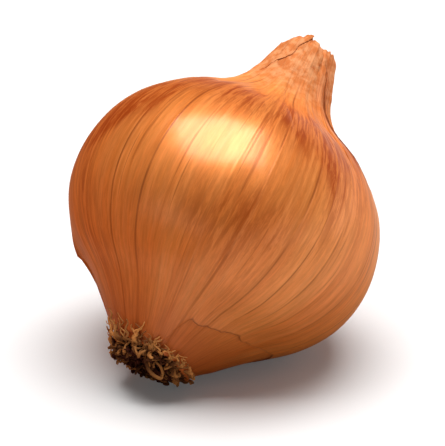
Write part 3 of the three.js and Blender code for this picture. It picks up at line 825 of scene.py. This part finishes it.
def basal_plate():
    """A thick disc, a little domed and rough on its outer face: profile points from the middle of
    that face round the rim to the middle of the inner one, turned about the axis."""
    share, height = np.array(PLATE_FACE).T[..., None]
    radius = PLATE_RADIUS * share
    angle = np.arange(96)[None, :] * 360 / 96
    pits = 0.4 * np.abs(ripple(angle, radius * 3, cells=24, step=3, seed=41)) * (height < -35)
    poles = (0, 0, PLATE_MIDDLE), (0, 0, PLATE_BACK)
    piece = grid_mesh("basal_plate", around(radius, angle, height - pits), poles)
    mark(piece.data, "tone", 0.1)
    mark(piece.data, "length", 1.0)
    return piece


plate = basal_plate()


def root_material():
    """Dead root: dull fibres from pale straw to dark brown, dusty in places, and darkened by painted
    shade where they grow from the plate."""
    material = bpy.data.materials.new("dead roots")
    material.use_nodes = True
    tree = material.node_tree
    shader = tree.nodes["Principled BSDF"]
    place = node(tree, "ShaderNodeTexCoord").outputs["Object"]
    speckle = noise(tree, place, 900.0, 3, 0.6)
    straw = between(tree, attribute(tree, "tone"), 0.0, 1.0)
    colour = blend(tree, straw, ROOT_DARK, ROOT_STRAW)
    colour = blend(tree, between(tree, speckle, 0.5, 0.75, 0, 0.2), colour, ROOT_DUST)
    shaded = between(tree, attribute(tree, "length"), 0.0, 0.5, 0.9, 0.0)
    tree.links.new(blend(tree, shaded, colour, ROOT_SHADE), shader.inputs["Base Color"])
    shader.inputs["Roughness"].default_value = 0.75
    shader.inputs["Specular IOR Level"].default_value = 0.15
    bump = node(tree, "ShaderNodeBump", Strength=0.5, Distance=0.15 * MM, Height=speckle)
    tree.links.new(bump.outputs["Normal"], shader.inputs["Normal"])
    return material


ROOT_FINISH = root_material()
for piece in (plate, tuft, climbers, ring):
    piece.data.materials.append(ROOT_FINISH)
    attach(piece, "root")
    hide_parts("roots")

# ---------------------------------------------------------------- stage, light and camera
# A pale table under a big soft box, and a camera at arm's length with a long lens.

GIRTH_CENTRE = SHIFT * MM
EYE_RISE, EYE_DISTANCE = np.radians(24), 0.75  # above the table, and m from the onion's middle
LENS = 268  # mm
FLOOR_RADIUS = 1.6  # m
FLOOR_WHITE, FLOOR_GLOW = (0.77, 0.77, 0.77, 1), (0.060, 0.062, 0.063, 1)  # as the camera sees it
FLOOR_PALE, FLOOR_WARM, FLOOR_DIM = (0.70, 0.66, 0.60, 1), (0.40, 0.19, 0.08, 1), (0.26, 0.20, 0.16, 1)
BACKDROP, BRIGHT_SIDE, WARM_SIDE = (0.92, 0.92, 0.92, 1), (1.65, 1.65, 1.65, 1), (0.44, 0.16, 0.055, 1)
DARK_ROOM = 0.08  # how bright the room behind the camera is
WHITE, BLACK = (1, 1, 1, 1), (0, 0, 0, 1)


def pale_floor():
    """A round sheet that fades out into the white backdrop towards its edge. What it throws back
    at the onion is warm on the left, where other onions lie, and dim in the onion's own shade."""
    bpy.ops.mesh.primitive_circle_add(vertices=128, radius=FLOOR_RADIUS, fill_type="TRIFAN")
    floor = bpy.context.object
    floor.name = "floor"
    material = bpy.data.materials.new("pale table")
    material.use_nodes = True
    tree = material.node_tree
    shader = tree.nodes["Principled BSDF"]
    shader.inputs["Roughness"].default_value = 0.9
    shader.inputs["Specular IOR Level"].default_value = 0.1
    shader.inputs["Emission Strength"].default_value = 1
    place = node(tree, "ShaderNodeTexCoord").outputs["Object"]
    sideways = node(tree, "ShaderNodeSeparateXYZ", Vector=place).outputs["X"]
    away = node(tree, "ShaderNodeVectorMath", operation="LENGTH", _0=place).outputs["Value"]
    left = between(tree, sideways, -0.09, -0.01, 1.0, 0.0)
    bounced = blend(tree, left, FLOOR_PALE, FLOOR_WARM)
    bounced = blend(tree, between(tree, away, 0.02, 0.09, 1.0, 0.0), bounced, FLOOR_DIM)
    seen = node(tree, "ShaderNodeLightPath").outputs["Is Camera Ray"]
    tree.links.new(blend(tree, seen, bounced, FLOOR_WHITE), shader.inputs["Base Color"])
    tree.links.new(blend(tree, seen, BLACK, FLOOR_GLOW), shader.inputs["Emission Color"])
    tree.links.new(between(tree, away, 0.35, 1.2, 1.0, 0.0), shader.inputs["Alpha"])
    floor.data.materials.append(material)


def studio_world():
    """White all round for the camera. For the onion the room behind the camera is dark and what is
    overhead is dim, the left is the warm dim side, where other onions lie, low on the right it is
    bright, and the rest is a white backdrop."""
    world = bpy.data.worlds.new("studio")
    bpy.context.scene.world = world
    world.use_nodes = True
    tree = world.node_tree
    toward = node(tree, "ShaderNodeTexCoord").outputs["Generated"]
    split = node(tree, "ShaderNodeSeparateXYZ", Vector=toward)
    x, y, z = (split.outputs[name] for name in "XYZ")
    up = node(tree, "ShaderNodeVectorMath", operation="DOT_PRODUCT", _0=toward,
              _1=(0, np.sin(EYE_RISE), np.cos(EYE_RISE))).outputs["Value"]
    wide, high = maths(tree, "MULTIPLY", x, 1 / 0.50), maths(tree, "MULTIPLY", up, 1 / 0.40)
    off = maths(tree, "MULTIPLY_ADD", wide, wide, maths(tree, "MULTIPLY", high, high))
    off = maths(tree, "SQRT", off)
    lit = maths(tree, "MAXIMUM", between(tree, off, 0.6, 1.4), between(tree, y, -0.1, 0.1))
    front = maths(tree, "MULTIPLY", between(tree, y, -0.3, 0.3, 0.7, 1.0),
                  between(tree, z, 0.0, 0.45, 1.0, 0.2))
    room = maths(tree, "MULTIPLY", front, maths(tree, "MAXIMUM", lit, DARK_ROOM))
    left = maths(tree, "MULTIPLY", between(tree, x, -0.2, 0.3, 1.0, 0.0), between(tree, y, -0.7, -0.2))
    right = maths(tree, "MULTIPLY", between(tree, x, 0.0, 0.6), between(tree, z, 0.05, 0.25, 1.0, 0.0))
    tint = blend(tree, left, blend(tree, right, BACKDROP, BRIGHT_SIDE), WARM_SIDE)
    grey = node(tree, "ShaderNodeCombineXYZ", X=room, Y=room, Z=room).outputs[0]
    shaded = blend(tree, 1.0, tint, grey, "MULTIPLY")
    seen = node(tree, "ShaderNodeLightPath").outputs["Is Camera Ray"]
    tree.links.new(blend(tree, seen, shaded, WHITE), tree.nodes["Background"].inputs["Color"])


def soft_box():
    """The big soft box, a metre above the table and a little to the right of the onion."""
    light = bpy.data.lights.new("soft box", "AREA")
    light.shape = "RECTANGLE"
    light.size, light.size_y = 0.95, 0.75
    light.energy = 16.6
    lamp = bpy.data.objects.new("soft box", light)
    lamp.location = (0.04, 0.02, 1.0)
    lamp.visible_camera = False
    bpy.context.scene.collection.objects.link(lamp)


def camera():
    """A long lens, 24 degrees above the table, looking along +Y at the middle of the onion."""
    lens = bpy.data.cameras.new("camera")
    lens.lens = LENS
    lens.clip_end = 20
    eye = bpy.data.objects.new("camera", lens)
    bpy.context.scene.collection.objects.link(eye)
    eye.location = GIRTH_CENTRE + EYE_DISTANCE * np.array((0, -np.cos(EYE_RISE), np.sin(EYE_RISE)))
    toward = Vector(GIRTH_CENTRE - np.array(eye.location))
    eye.rotation_euler = toward.to_track_quat("-Z", "Y").to_euler()
    bpy.context.scene.camera = eye


pale_floor()
studio_world()
soft_box()
camera()
bpy.context.scene.view_settings.view_transform = "Standard"
